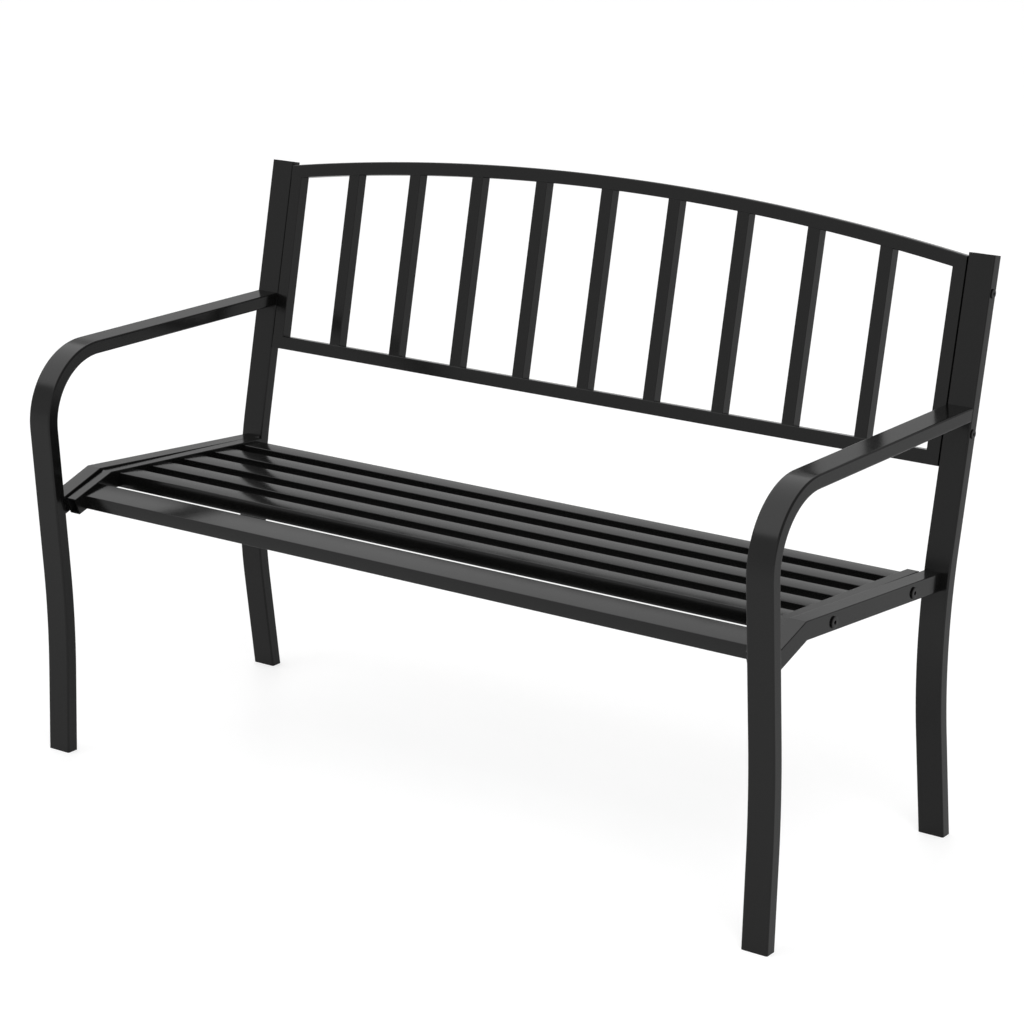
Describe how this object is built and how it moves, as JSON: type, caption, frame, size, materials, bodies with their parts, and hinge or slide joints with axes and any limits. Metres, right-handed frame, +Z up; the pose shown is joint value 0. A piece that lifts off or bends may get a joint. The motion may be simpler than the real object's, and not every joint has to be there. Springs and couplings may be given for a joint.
{
  "type": "park bench",
  "caption": "Slatted steel park bench: bent tube legs that run on into the armrests, reclined rear posts, a falling front edge and an arched back of upright slats.",
  "frame": {"origin": "on the floor, under the middle of the bench", "axes": "+X along the bench to the sitter's left, +Y from the front to the back, +Z up"},
  "size_m": [1.2774, 0.596, 0.8638],
  "materials": {
    "frame_paint": "semi-gloss black powder coat with fine orange peel",
    "screw_coating": "black coated steel, satin",
    "insert_zinc": "zinc plated",
    "plug_plastic": "moulded black plastic, matt"
  },
  "bodies": {
    "root": {"back_arch": "frame_paint", "back_bottom_rail": "frame_paint", "back_inserts": "insert_zinc", "back_screws": "screw_coating", "back_side_bar_left": "frame_paint", "back_side_bar_right": "frame_paint", "back_slat_1": "frame_paint", "back_slat_2": "frame_paint", "back_slat_3": "frame_paint", "back_slat_4": "frame_paint", "back_slat_5": "frame_paint", "back_slat_6": "frame_paint", "back_slat_7": "frame_paint", "back_slat_8": "frame_paint", "back_slat_9": "frame_paint", "front_foot_plug_left": "plug_plastic", "front_foot_plug_right": "plug_plastic", "front_leg_arm_left": "frame_paint", "front_leg_arm_right": "frame_paint", "post_top_plug_left": "plug_plastic", "post_top_plug_right": "plug_plastic", "rear_foot_plug_left": "plug_plastic", "rear_foot_plug_right": "plug_plastic", "rear_post_left": "frame_paint", "rear_post_right": "frame_paint", "seat_inserts": "insert_zinc", "seat_rail_front_plug_left": "plug_plastic", "seat_rail_front_plug_right": "plug_plastic", "seat_rail_left": "frame_paint", "seat_rail_rear_plug_left": "plug_plastic", "seat_rail_rear_plug_right": "plug_plastic", "seat_rail_right": "frame_paint", "seat_screws": "screw_coating", "seat_slat_1": "frame_paint", "seat_slat_2": "frame_paint", "seat_slat_3": "frame_paint", "seat_slat_4": "frame_paint", "seat_slat_5": "frame_paint", "seat_slat_6": "frame_paint", "side_rail_left": "frame_paint", "side_rail_right": "frame_paint"}
  },
  "joints": []
}
